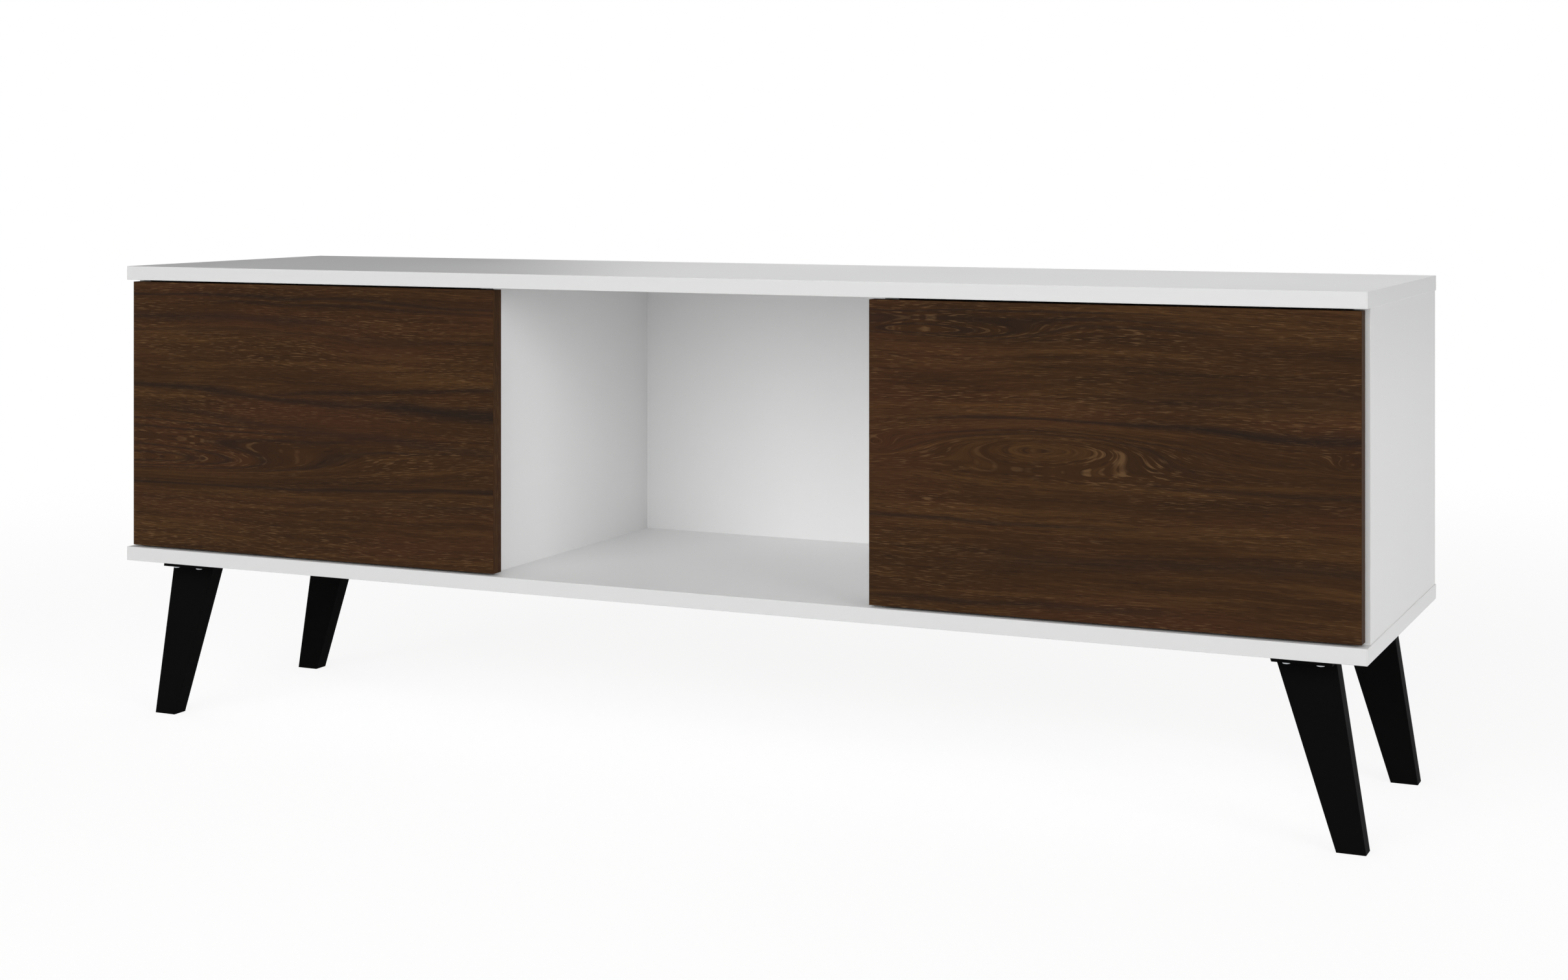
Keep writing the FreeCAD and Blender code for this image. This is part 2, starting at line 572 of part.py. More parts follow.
def hinge_cup(z):
    centre = at(CUP_CENTRE_U, 0, z)
    forward = Vec(0, -1, 0)
    cup = rod(CUP_RADIUS, centre, forward, CUP_DEPTH)
    u0, u1 = [CUP_CENTRE_U + end for end in CUP_FLANGE_SPAN]
    flange = prism([(u0, 0), (u1, 0), (u1, -CUP_FLANGE_THICKNESS), (u0, -CUP_FLANGE_THICKNESS)],
                   z - CUP_FLANGE_HALF_LENGTH, z + CUP_FLANGE_HALF_LENGTH)
    flange = round_edges(flange, CUP_FLANGE_CORNER, lambda e: edge_runs(e, "y", CUP_FLANGE_THICKNESS))
    mouth = along(centre, forward, -CUP_FLANGE_THICKNESS - 1)
    pocket = rod(POCKET_RADIUS, mouth, forward, POCKET_DEPTH + CUP_FLANGE_THICKNESS + 1)
    reach = CUP_RADIUS + 1
    slot = prism([(CUP_CENTRE_U - reach, -5), (CUP_CENTRE_U + reach, -5), (CUP_CENTRE_U + reach, CUP_DEPTH),
                  (CUP_CENTRE_U - reach, CUP_DEPTH)], z - POCKET_HALF_WIDTH, z + POCKET_HALF_WIDTH)
    holes = []
    for pivot in (CUP_OUTER_PIVOT, CUP_INNER_PIVOT):
        reach_z = POCKET_HALF_WIDTH + PIN_SEAT + FIT
        holes.append(disc(pivot, PIVOT_RADIUS + FIT, z - reach_z, z + reach_z))
    holes += [rod(CUP_SCREW_RADIUS + SCREW_PLAY, along(seat, forward, -1), forward, CUP_FLANGE_THICKNESS + 2)
              for seat in cup_screw_seats(z)]
    return cup.fuse(flange).cut([pocket.common(slot)] + holes).removeSplitter()


def cup_screw_seats(z):
    u = CUP_CENTRE_U + CUP_SCREW_OFFSET_U
    return [at(u, -CUP_FLANGE_THICKNESS, z + side * CUP_SCREW_HALF_SPACING) for side in (-1, 1)]


def cup_screws(z):
    return [pan_screw(seat, Vec(0, -1, 0), CUP_SCREW_RADIUS, CUP_FLANGE_THICKNESS + CUP_SCREW_BITE,
                      CUP_SCREW_HEAD_RADIUS, CUP_SCREW_HEAD_HEIGHT) for seat in cup_screw_seats(z)]


def door_hinge_cuts(z):
    forward = Vec(0, -1, 0)
    bore = rod(CUP_RADIUS + CUP_BORE_CLEARANCE, at(CUP_CENTRE_U, 0, z), forward, CUP_DEPTH + CUP_BORE_CLEARANCE)
    holes = [rod(CUP_SCREW_RADIUS + FIT, seat, forward, CUP_FLANGE_THICKNESS + CUP_SCREW_BITE + HOLE_END_GAP)
             for seat in cup_screw_seats(z)]
    return [bore] + holes


def left_door():
    slab = box(-DOOR_OUTER, -DOOR_INNER, DOOR_FRONT, DOOR_BACK, DOOR_LOW, DOOR_HIGH)
    front = [edge for edge in slab.Edges if all(abs(vertex.Y - DOOR_FRONT) < 0.01 for vertex in edge.Vertexes)]
    slab = slab.makeFillet(EDGE_ROUND, front)
    cuts = []
    for level in HINGE_LEVELS.values():
        cuts += door_hinge_cuts(level)
    return slab.cut(cuts)


# ---------------------------------------------------------------- boards
def spanning_panel(z0, z1):
    """The top or the bottom panel, its outer edges rounded all the way round."""
    slab = box(-HALF_WIDTH, HALF_WIDTH, FRONT, CARCASS_BACK, z0, z1)
    return round_edges(slab, EDGE_ROUND, lambda e: edge_runs(e, "x", WIDTH) or edge_runs(e, "y", CARCASS_DEPTH))


def top_panel():
    cuts = []
    for name in UPRIGHTS:
        x = upright_middle(name)
        cuts += [dowel_hole(x, y, TOP_LOW, 1, DOWEL_IN_PANEL) for y in stations(DOWEL_INSET)]
        cuts += [cam_pin_holes(x, y)[0] for y in stations(CAM_INSET)]
    return spanning_panel(TOP_LOW, TOP_HIGH).cut(cuts + nail_cuts)


def bottom_panel():
    cuts = []
    for name in UPRIGHTS:
        x = upright_middle(name)
        cuts += [dowel_hole(x, y, BASE_HIGH, -1, DOWEL_IN_PANEL) for y in stations(DOWEL_INSET)]
        for y in stations(CAM_INSET):
            cuts += base_screw_shapes(x, y, FIT, 0)[:2]
    for x, y in leg_screw_places():
        cuts += four_corners(leg_screw_hole(x, y)).values()
    return spanning_panel(BASE_LOW, BASE_HIGH).cut(cuts + nail_cuts)


def upright(name):
    x0, x1, facing = UPRIGHTS[name]
    x = upright_middle(name)
    board = box(x0, x1, UPRIGHT_FRONT, CARCASS_BACK, BASE_HIGH, TOP_LOW)
    front = [edge for edge in board.Edges
             if edge_runs(edge, "z", UPRIGHT_HEIGHT) and abs(edge.CenterOfMass.y - UPRIGHT_FRONT) < 0.01]
    board = board.makeFillet(EDGE_ROUND, front)
    in_upright = DOWEL_LENGTH - DOWEL_IN_PANEL
    cuts = []
    for y in stations(DOWEL_INSET):
        cuts += [dowel_hole(x, y, TOP_LOW, -1, in_upright), dowel_hole(x, y, BASE_HIGH, 1, in_upright)]
    for y in stations(CAM_INSET):
        cuts += [cam_pin_holes(x, y)[1], cam_pocket(name, y), base_screw_shapes(x, y, FIT, HOLE_END_GAP)[2]]
    if name.endswith("side_panel"):
        for level in HINGE_LEVELS.values():
            holes = plate_screw_holes(level)
            cuts += holes if name.startswith("left") else [mirror_x(hole) for hole in holes]
    return board.cut(cuts + nail_cuts)


def back_panel():
    slab = box(-HALF_WIDTH + BACK_INSET, HALF_WIDTH - BACK_INSET, CARCASS_BACK, BACK_FACE,
               BASE_LOW + BACK_INSET, TOP_HIGH - BACK_INSET)
    return slab.cut(nail_cuts)


# ---------------------------------------------------------------- build
os.makedirs("parts", exist_ok=True)
nail_cuts = [nail_hole(x, z) for x, z in nail_places()]

export("top_panel", [top_panel()])
export("bottom_panel", [bottom_panel()])
export("back_panel", [back_panel()])
for upright_name in UPRIGHTS:
    export(upright_name, [upright(upright_name)])

pins, cams, dowels, screws = [], [], [], []
for upright_name in UPRIGHTS:
    middle = upright_middle(upright_name)
    for station in stations(CAM_INSET):
        pins.append(cam_pin(middle, station))
        cams.append(cam_lock(upright_name, station))
        screws.append(base_screw(middle, station))
    for station in stations(DOWEL_INSET):
        dowels.append(dowel(middle, station, TOP_LOW, -1))
        dowels.append(dowel(middle, station, BASE_HIGH, 1))
export("cam_pins", pins)
export("cam_locks", cams)
export("base_screws", screws)
export("wood_dowels", dowels)
export("back_panel_nails", [nail(x, z) for x, z in nail_places()])

for corner, leg in four_corners(front_right_leg()).items():
    export(corner + "_leg", [leg])
leg_screws = []
for x, y in leg_screw_places():
    leg_screws += four_corners(leg_screw(x, y)).values()
export("leg_screws", leg_screws)

# the left door's pieces as modelled, the right door's mirrored
HINGE_PIECES = {
    "hinge_cup": lambda z: [hinge_cup(z)],
    "hinge_arm": lambda z: [hinge_arm(z)],
    "mounting_plate": lambda z: [mounting_plate(z)],
    "outer_link": outer_link,
    "inner_link": inner_link,
}
HINGE_FASTENERS = {
    "cup_pins": cup_pins,
    "cup_screws": cup_screws,
    "arm_pins": arm_pins,
    "arm_screws": arm_screws,
    "plate_screws": plate_screws,
}
door = left_door()
for side, place in (("left", lambda shape: shape), ("right", mirror_x)):
    export(side + "_door", [place(door)])
    for piece, make in HINGE_PIECES.items():
        for level_name, level in HINGE_LEVELS.items():
            export(side + "_" + level_name + "_" + piece, [place(solid) for solid in make(level)])
    for piece, make in HINGE_FASTENERS.items():
        solids = []
        for level in HINGE_LEVELS.values():
            solids += [place(solid) for solid in make(level)]
        export(side + "_" + piece, solids)
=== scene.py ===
# %% [markdown]
# # A media cabinet in a white studio
# The cabinet is a white carcass with an open niche between two walnut-faced
# doors, on four splayed black legs. Every piece of it is already modelled as a
# solid, so this lesson is about finishes and light: how laminate, foil,
# plastic, hardboard and plated steel are made from nodes, and how a plain
# studio is built round a pale object without losing its edges.

import json
import math

import bmesh
import bpy
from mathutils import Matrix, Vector


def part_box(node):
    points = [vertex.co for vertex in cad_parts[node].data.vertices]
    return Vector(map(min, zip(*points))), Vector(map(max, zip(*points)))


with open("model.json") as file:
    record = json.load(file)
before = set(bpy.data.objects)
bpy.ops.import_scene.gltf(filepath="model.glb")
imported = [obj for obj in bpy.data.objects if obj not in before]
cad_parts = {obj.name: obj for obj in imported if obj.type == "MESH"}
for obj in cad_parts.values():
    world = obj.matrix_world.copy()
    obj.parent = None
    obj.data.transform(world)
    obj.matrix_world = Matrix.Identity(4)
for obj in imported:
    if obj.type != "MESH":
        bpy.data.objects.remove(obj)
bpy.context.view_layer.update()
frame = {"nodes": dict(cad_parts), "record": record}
nodes = frame["nodes"]
scene = bpy.context.scene
MM = 0.001
print("solid pieces:", len(nodes))

# %% [markdown]
# ## Camera
# The camera is level, so that upright edges stay parallel. Like an
# architect's shift lens it is moved down inside the frame instead of being
# tilted, and it stands to the right, so that one end of the cabinet shows.

# %% Camera
CAMERA_PLACE = (1.0662, -2.2426, 0.6013)
CAMERA_TURN = math.radians(24.53)
lens = bpy.data.cameras.new("camera")
lens.lens = 54.20
lens.sensor_width = 36.0
lens.sensor_fit = "HORIZONTAL"
lens.shift_x = -0.0027
lens.shift_y = -0.2026
lens.clip_end = 60.0
camera = bpy.data.objects.new("camera", lens)
camera.location = CAMERA_PLACE
camera.rotation_euler = (math.radians(90), 0.0, CAMERA_TURN)
scene.collection.objects.link(camera)
scene.camera = camera
scene.view_settings.view_transform = "Standard"
print("camera height over the floor:", CAMERA_PLACE[2], "m")

# %% [markdown]
# ## Small tools for node trees
# A material is a tree of nodes. Placing nodes one by one makes long code, so
# a few helpers do it: one places a node and fills its sockets, one does sums,
# one mixes colours, and one opens a node group with named sockets. A value may
# be a number or another node's output, and the helper links it if it is.

# %% Helpers for nodes
def place(tree, kind, inputs=None, **settings):
    """One node, its settings, and its inputs as numbers or links."""
    new = tree.nodes.new(kind)
    for name, value in settings.items():
        setattr(new, name, value)
    for key, value in (inputs or {}).items():
        if isinstance(value, bpy.types.NodeSocket):
            tree.links.new(value, new.inputs[key])
        else:
            new.inputs[key].default_value = value
    return new


def calc(tree, operation, *values, clamp=False):
    """One sum, as a Math node's output."""
    return place(tree, "ShaderNodeMath", dict(enumerate(values)), operation=operation, use_clamp=clamp).outputs[0]


def between(tree, value, low, high, to_low=0.0, to_high=1.0, smooth=False):
    """A value stretched from one span to another and held inside it."""
    kind = "SMOOTHSTEP" if smooth else "LINEAR"
    spans = {0: value, 1: low, 2: high, 3: to_low, 4: to_high}
    return place(tree, "ShaderNodeMapRange", spans, interpolation_type=kind).outputs[0]


def mix_colours(tree, share, low, high, mode="MIX"):
    """Two colours mixed, or one laid on the other in a blend mode."""
    sockets = {0: share, 6: low, 7: high}
    return place(tree, "ShaderNodeMix", sockets, data_type="RGBA", blend_type=mode).outputs[2]


def noise(tree, vector, detail=2.0, roughness=0.5, scale=1.0):
    """Soft noise between 0 and 1 at a vector that already has its scale."""
    sockets = {"Vector": vector, "Scale": scale, "Detail": detail, "Roughness": roughness}
    return place(tree, "ShaderNodeTexNoise", sockets).outputs["Fac"]


def parts_of(tree, vector):
    """A vector's three numbers."""
    return place(tree, "ShaderNodeSeparateXYZ", {0: vector}).outputs


def vector_of(tree, x, y, z=0.0):
    return place(tree, "ShaderNodeCombineXYZ", {0: x, 1: y, 2: z}).outputs[0]


def display(red, green, blue):
    """A colour as a screen shows it, from 0 to 255, in the renderer's own numbers."""
    def linear(part):
        part /= 255.0
        return part / 12.92 if part <= 0.04045 else ((part + 0.055) / 1.055) ** 2.4
    return (linear(red), linear(green), linear(blue), 1.0)


KINDS = {"value": "NodeSocketFloat", "vector": "NodeSocketVector", "colour": "NodeSocketColor"}


def open_group(name, inputs, outputs):
    """An empty node group. inputs: name -> (kind, value); outputs: name -> kind."""
    group = bpy.data.node_groups.new(name, "ShaderNodeTree")
    for socket_name, (kind, value) in inputs.items():
        socket = group.interface.new_socket(socket_name, in_out="INPUT", socket_type=KINDS[kind])
        if value is not None:
            socket.default_value = value
    for socket_name, kind in outputs.items():
        group.interface.new_socket(socket_name, in_out="OUTPUT", socket_type=KINDS[kind])
    given = group.nodes.new("NodeGroupInput").outputs
    result = group.nodes.new("NodeGroupOutput").inputs
    return group, given, result


def use_group(tree, group, inputs):
    """A group placed in a tree with its own values."""
    return place(tree, "ShaderNodeGroup", dict(inputs), node_tree=group).outputs


def group_node(tree, group, inputs):
    new = tree.nodes.new("ShaderNodeGroup")
    new.node_tree = group
    for key, value in inputs.items():
        if isinstance(value, bpy.types.NodeSocket):
            tree.links.new(value, new.inputs[key])
        else:
            new.inputs[key].default_value = value
    return new.outputs


def open_material(name, **constants):
    """A material with one Principled shader, and the object's own coordinates."""
    material = bpy.data.materials.new(name)
    material.use_nodes = True
    tree = material.node_tree
    shader = tree.nodes["Principled BSDF"]
    for socket_name, value in constants.items():
        shader.inputs[socket_name.replace("_", " ")].default_value = value
    spot = tree.nodes.new("ShaderNodeTexCoord").outputs
    return material, tree, shader, spot


def feed(tree, shader, **links):
    """Links to the shader's sockets, named with underscores for spaces."""
    for socket_name, value in links.items():
        tree.links.new(value, shader.inputs[socket_name.replace("_", " ")])


def bump(tree, height, depth, strength=1.0):
    """A normal from a height between 0 and 1 that stands for so many metres."""
    return place(tree, "ShaderNodeBump", {"Strength": strength, "Distance": depth, "Height": height}).outputs[0]


def finish_nodes(material, names):
    """Gives a material to solid pieces, in the slots that they came with."""
    for name in names:
        piece = nodes[name]
        if not piece.material_slots:
            piece.data.materials.append(material)
        for slot in piece.material_slots:
            slot.material = material


# %% [markdown]
# ## The studio: world
# The background is pure white, but the light that falls on the cabinet is not
# as strong as that, or its white boards would burn out. A Light Path node
# tells the two apart: what the camera sees is white, what lights the boards is
# dimmer. Mirror-like rays see the same white behind the cabinet and a dim room
# on the camera's side, as in a real studio with its lamps off the axis.

# %% World
SKY_IN_FRONT, SKY_BEHIND, SKY_ABOVE = 0.70, 0.26, 0.24
ROOM_IN_FRONT = 0.10

world = bpy.data.worlds.new("studio")
world.use_nodes = True
scene.world = world
sky = world.node_tree
sky.nodes.clear()
path = place(sky, "ShaderNodeLightPath").outputs
direction = parts_of(sky, place(sky, "ShaderNodeTexCoord").outputs["Generated"])
mirrored = between(sky, direction["Y"], -0.25, 0.15, ROOM_IN_FRONT, 1.0, smooth=True)
softly = between(sky, direction["Y"], -0.5, 0.5, SKY_IN_FRONT, SKY_BEHIND, smooth=True)
softly = between(sky, direction["Z"], 0.15, 0.85, softly, SKY_ABOVE, smooth=True)
shiny = calc(sky, "MAXIMUM", path["Is Glossy Ray"], path["Is Transmission Ray"])
level = calc(sky, "MULTIPLY_ADD", calc(sky, "SUBTRACT", mirrored, softly), shiny, softly)
level = calc(sky, "MULTIPLY_ADD", calc(sky, "SUBTRACT", 1.0, level), path["Is Camera Ray"], level)
backdrop = place(sky, "ShaderNodeBackground", {"Color": (1.0, 1.0, 1.0, 1.0), "Strength": level})
sky_end = place(sky, "ShaderNodeOutputWorld", {"Surface": backdrop.outputs[0]})
print("sky light:", SKY_IN_FRONT, SKY_BEHIND, SKY_ABOVE)

# %% [markdown]
# ## The studio: floor
# A floor that is lit shows the lamps' fall-off, and a floor that only glows
# shows no shadow. This one does both: near the cabinet it is part white paint
# and part glow, so that it is just white where nothing shades it and a soft
# grey under the legs, and further out it turns into glow alone, which runs
# into the white background without a horizon.

# %% Floor
FLOOR_RADIUS = 14.0
FLOOR_DROP = 0.1 * MM

rim = bmesh.new()
bmesh.ops.create_circle(rim, cap_ends=True, radius=FLOOR_RADIUS, segments=96)
bmesh.ops.translate(rim, vec=(0.0, 0.0, -FLOOR_DROP), verts=rim.verts)
floor_mesh = bpy.data.meshes.new("floor")
rim.to_mesh(floor_mesh)
rim.free()
floor = bpy.data.objects.new("floor", floor_mesh)
scene.collection.objects.link(floor)

PAINT = 0.25
GLOW = 0.84
BOUNCE = 0.85
floor_paint = bpy.data.materials.new("floor_paint")
floor_paint.use_nodes = True
tree = floor_paint.node_tree
tree.nodes.clear()
path = place(tree, "ShaderNodeLightPath").outputs
spot = place(tree, "ShaderNodeTexCoord").outputs["Object"]
reach = place(tree, "ShaderNodeVectorMath", {0: spot}, operation="LENGTH").outputs["Value"]
far = between(tree, reach, 1.1, 2.6, smooth=True)
seen = calc(tree, "MAXIMUM", path["Is Camera Ray"],
            calc(tree, "MAXIMUM", path["Is Glossy Ray"], path["Is Transmission Ray"]))
paint = place(tree, "ShaderNodeBsdfDiffuse", {"Color": (PAINT, PAINT, PAINT, 1.0)}).outputs[0]
glow = place(tree, "ShaderNodeEmission", {"Strength": GLOW}).outputs[0]
near_look = place(tree, "ShaderNodeAddShader", {0: paint, 1: glow}).outputs[0]
white = place(tree, "ShaderNodeEmission", {"Strength": 1.0}).outputs[0]
look = place(tree, "ShaderNodeMixShader", {0: far, 1: near_look, 2: white}).outputs[0]
bounce = place(tree, "ShaderNodeBsdfDiffuse", {"Color": (BOUNCE, BOUNCE, BOUNCE, 1.0)}).outputs[0]
floor_end = place(tree, "ShaderNodeMixShader", {0: seen, 1: bounce, 2: look}).outputs[0]
place(tree, "ShaderNodeOutputMaterial", {"Surface": floor_end})
floor_mesh.materials.append(floor_paint)
print("floor radius:", FLOOR_RADIUS, "m")

# %% [markdown]
# ## The studio: lamps
# Large area lamps give soft shadows. The main one is wide, stands well in
# front and shines down into the niche. A second on the right lights that end
# and the niche's left wall. A weak one on the far left keeps the hidden end and
# the back from going dark.

# %% Lamps
def softbox(name, place_at, aim_at, width, height, watts):
    light = bpy.data.lights.new(name, "AREA")
    light.shape = "RECTANGLE"
    light.size = width
    light.size_y = height
    light.energy = watts
    lamp = bpy.data.objects.new(name, light)
    lamp.location = place_at
    aim = Vector(aim_at) - Vector(place_at)
    lamp.rotation_euler = aim.to_track_quat("-Z", "Y").to_euler()
    lamp.visible_glossy = False
    scene.collection.objects.link(lamp)
    return lamp


CENTRE = (0.0, 0.0, 0.30)
softbox("main_softbox", (-0.6, -6.6, 2.6), CENTRE, 5.5, 4.6, 210.0)
softbox("right_softbox", (5.2, -2.9, 1.9), CENTRE, 2.6, 2.2, 88.0)
softbox("left_fill", (-5.0, 1.2, 2.0), CENTRE, 2.6, 2.2, 25.0)

# %% [markdown]
# ## The studio: cards behind the cabinet
# The top is seen almost edge on, where even a satin board mirrors what stands
# behind it. A studio puts cards there, out of the picture: a dark one on the
# left and a grey one on the right, which give the top its two tones and keep
# it apart from the white background. The card here is one upright sheet that
# only mirror-like rays can see.

# %% Cards behind the cabinet
CARD_DISTANCE = 7.0
CARD_HEIGHT = 4.5
CARD_SPLIT = -0.66
DARK_CARD, PALE_CARD, SIDE_CARD = 0.0, 1.1, 0.15
SIDE_SPLIT = 3.4

forward = Vector((-math.sin(CAMERA_TURN), math.cos(CAMERA_TURN), 0.0))
rightward = Vector((math.cos(CAMERA_TURN), math.sin(CAMERA_TURN), 0.0))
foot = Vector((CAMERA_PLACE[0], CAMERA_PLACE[1], 0.0)) + forward * CARD_DISTANCE
sheet = bmesh.new()
low_edge = [sheet.verts.new(foot + rightward * side) for side in (-7.0, 12.0)]
line = sheet.edges.new(low_edge)
raised = bmesh.ops.extrude_edge_only(sheet, edges=[line])["geom"]
bmesh.ops.translate(sheet, vec=(0.0, 0.0, CARD_HEIGHT), verts=[g for g in raised if isinstance(g, bmesh.types.BMVert)])
card_mesh = bpy.data.meshes.new("card")
sheet.to_mesh(card_mesh)
sheet.free()
card = bpy.data.objects.new("card", card_mesh)
scene.collection.objects.link(card)
for ray in ("camera", "diffuse", "transmission", "shadow", "volume_scatter"):
    setattr(card, "visible_" + ray, False)

card_paint = bpy.data.materials.new("card_paint")
card_paint.use_nodes = True
tree = card_paint.node_tree
tree.nodes.clear()
spot = place(tree, "ShaderNodeTexCoord").outputs["Object"]
from_foot = place(tree, "ShaderNodeVectorMath", {0: spot, 1: tuple(foot)}, operation="SUBTRACT").outputs[0]
along_card = place(tree, "ShaderNodeVectorMath", {0: from_foot, 1: tuple(rightward)}, operation="DOT_PRODUCT").outputs["Value"]
card_tone = between(tree, along_card, CARD_SPLIT - 0.25, CARD_SPLIT + 0.25, DARK_CARD, PALE_CARD, smooth=True)
beside = between(tree, along_card, SIDE_SPLIT - 0.25, SIDE_SPLIT + 0.25, smooth=True)
card_tone = between(tree, beside, 0.0, 1.0, card_tone, SIDE_CARD)
card_glow = place(tree, "ShaderNodeEmission", {"Strength": card_tone}).outputs[0]
place(tree, "ShaderNodeOutputMaterial", {"Surface": card_glow})
card_mesh.materials.append(card_paint)
print("card tones:", DARK_CARD, PALE_CARD, SIDE_CARD)

# %% [markdown]
# ## Shared finish: fine unevenness
# No made surface is perfectly even. Laminate has a pearl of tiny dents,
# moulded plastic a spark-eroded grain, plated steel faint clouds. One node
# group makes them all from two noises, one broad and one fine, and each
# material gives it its own scale.

# %% Node group: fine unevenness
uneven, given, result = open_group(
    "fine_unevenness",
    {"Spot": ("vector", None), "Broad": ("value", 8.0), "Fine": ("value", 1500.0)},
    {"Cloud": "value", "Grain": "value"})
broad_spot = place(uneven, "ShaderNodeVectorMath", {0: given["Spot"], "Scale": given["Broad"]}, operation="SCALE").outputs[0]
fine_spot = place(uneven, "ShaderNodeVectorMath", {0: given["Spot"], "Scale": given["Fine"]}, operation="SCALE").outputs[0]
uneven.links.new(noise(uneven, broad_spot, detail=4.0), result["Cloud"])
uneven.links.new(noise(uneven, fine_spot, detail=1.0), result["Grain"])

# %% [markdown]
# ## Shared finish: chipboard
# The boards are chipboard under a white foil. The foil covers every face and
# the front edges, but the back edges are left raw, where flakes of light and
# dark wood show. A Voronoi pattern, squeezed along the board's thickness,
# looks like pressed flakes.

# %% Node group: chipboard
chips, given, result = open_group(
    "chipboard", {"Spot": ("vector", None)}, {"Color": "colour", "Height": "value"})
squeezed = place(chips, "ShaderNodeMapping", {0: given["Spot"], "Scale": (260.0, 420.0, 620.0)}).outputs[0]
flakes = place(chips, "ShaderNodeTexVoronoi", {"Vector": squeezed, "Scale": 1.0, "Randomness": 1.0}).outputs
tone = parts_of(chips, flakes["Color"])[0]
chip_colour = mix_colours(chips, tone, display(150, 116, 78), display(205, 176, 132))
gaps = between(chips, flakes["Distance"], 0.25, 0.75)
chip_colour = mix_colours(chips, calc(chips, "MULTIPLY", gaps, 0.55), chip_colour, display(96, 68, 42))
chips.links.new(chip_colour, result["Color"])
chips.links.new(calc(chips, "SUBTRACT", 1.0, gaps), result["Height"])

# %% [markdown]
# ## White boards
# White melamine foil: a plain white that is a little uneven in gloss, with a
# fine pearl. The foil's edge band meets the face foil in a hair line just
# behind the front edge. The band's faces that look to the front are given a
# darker white, which is painted shade. Each board's own box says where its
# edges are, so the line stays on the edge if the board is made wider or deeper.

# %% White boards
BAND_THICKNESS = 0.8 * MM
LINE_WIDTH = 0.12 * MM
# painted shade: the edge band is real, but its darker white stands in for shade on the faces that look to the front
SHADED_BAND_WHITE = (0.74, 0.74, 0.74, 1.0)


def edge_line(tree, place_along, edge, inwards):
    """A hair line at the band's thickness from a board's edge."""
    distance = calc(tree, "MULTIPLY", calc(tree, "SUBTRACT", place_along, edge), inwards)
    off_line = calc(tree, "ABSOLUTE", calc(tree, "SUBTRACT", distance, BAND_THICKNESS))
    return between(tree, off_line, 0.5 * LINE_WIDTH, LINE_WIDTH, 1.0, 0.0)


def white_board(node_name, banded_ends):
    low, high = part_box(node_name)
    material, tree, shader, spot = open_material(
        "white_foil_" + node_name, Specular_IOR_Level=0.5, IOR=1.45)
    here = parts_of(tree, spot["Object"])
    facing = parts_of(tree, spot["Normal"])
    pearl = group_node(tree, uneven, {"Spot": spot["Object"], "Broad": 3.0, "Fine": 900.0})
    colour = mix_colours(tree, pearl["Cloud"], (0.92, 0.92, 0.92, 1.0), (0.935, 0.935, 0.935, 1.0))
    # painted shade: faces that look to the front get the darker band white
    band = between(tree, facing["Y"], -0.8, -0.6, 1.0, 0.0)
    colour = mix_colours(tree, band, colour, SHADED_BAND_WHITE)
    line = edge_line(tree, here["Y"], low.y, 1.0)
    if banded_ends:
        line = calc(tree, "MAXIMUM", line, edge_line(tree, here["X"], low.x, 1.0))
        line = calc(tree, "MAXIMUM", line, edge_line(tree, here["X"], high.x, -1.0))
    colour = mix_colours(tree, calc(tree, "MULTIPLY", line, 0.30), colour, (0.40, 0.39, 0.37, 1.0))
    raw = between(tree, facing["Y"], 0.6, 0.8)
    chip = group_node(tree, chips, {"Spot": spot["Object"]})
    colour = mix_colours(tree, raw, colour, chip["Color"])
    roughness = between(tree, pearl["Cloud"], 0.3, 0.7, 0.36, 0.42)
    roughness = calc(tree, "MULTIPLY_ADD", raw, 0.4, roughness)
    height = calc(tree, "MULTIPLY_ADD", calc(tree, "MULTIPLY", raw, chip["Height"]), 6.0, pearl["Grain"])
    feed(tree, shader, Base_Color=colour, Roughness=roughness, Normal=bump(tree, height, 0.01 * MM))
    finish_nodes(material, [node_name])
    return material


for panel in ("top_panel", "bottom_panel"):
    white_board(panel, banded_ends=True)
for panel in ("left_side_panel", "right_side_panel", "left_divider", "right_divider"):
    white_board(panel, banded_ends=False)
print("white boards:", [m.name for m in bpy.data.materials if m.name.startswith("white_foil")])

# %% [markdown]
# ## Hardboard back
# The thin back is pressed wood fibre. Inside it is lacquered white like the
# boards; outside it is bare brown, with the print of the wire screen that it
# was pressed on. The object's own Normal tells the two faces apart.

# %% Hardboard back
SCREEN_PITCH = 1.6 * MM

material, tree, shader, spot = open_material("hardboard", Specular_IOR_Level=0.4)
facing = parts_of(tree, spot["Normal"])
lacquered = between(tree, facing["Y"], -0.8, -0.6, 1.0, 0.0)
fibre = group_node(tree, uneven, {"Spot": spot["Object"], "Broad": 60.0, "Fine": 700.0})
brown = mix_colours(tree, fibre["Grain"], display(98, 68, 42), display(142, 104, 68))
brown = mix_colours(tree, between(tree, fibre["Cloud"], 0.4, 0.7), brown, display(112, 78, 50))
colour = mix_colours(tree, lacquered, brown, (0.92, 0.92, 0.92, 1.0))
here = parts_of(tree, spot["Object"])
turn = 2 * math.pi / SCREEN_PITCH
wires = [calc(tree, "SINE", calc(tree, "MULTIPLY", here[axis], turn)) for axis in ("X", "Z")]
screen = between(tree, calc(tree, "MULTIPLY", wires[0], wires[1]), -1.0, 1.0)
height = calc(tree, "MULTIPLY_ADD", fibre["Grain"], 0.6, screen)
height = calc(tree, "MULTIPLY", height, calc(tree, "SUBTRACT", 1.0, lacquered))
roughness = between(tree, lacquered, 0.0, 1.0, 0.72, 0.42)
feed(tree, shader, Base_Color=colour, Roughness=roughness, Normal=bump(tree, height, 0.05 * MM))
finish_nodes(material, ["back_panel"])

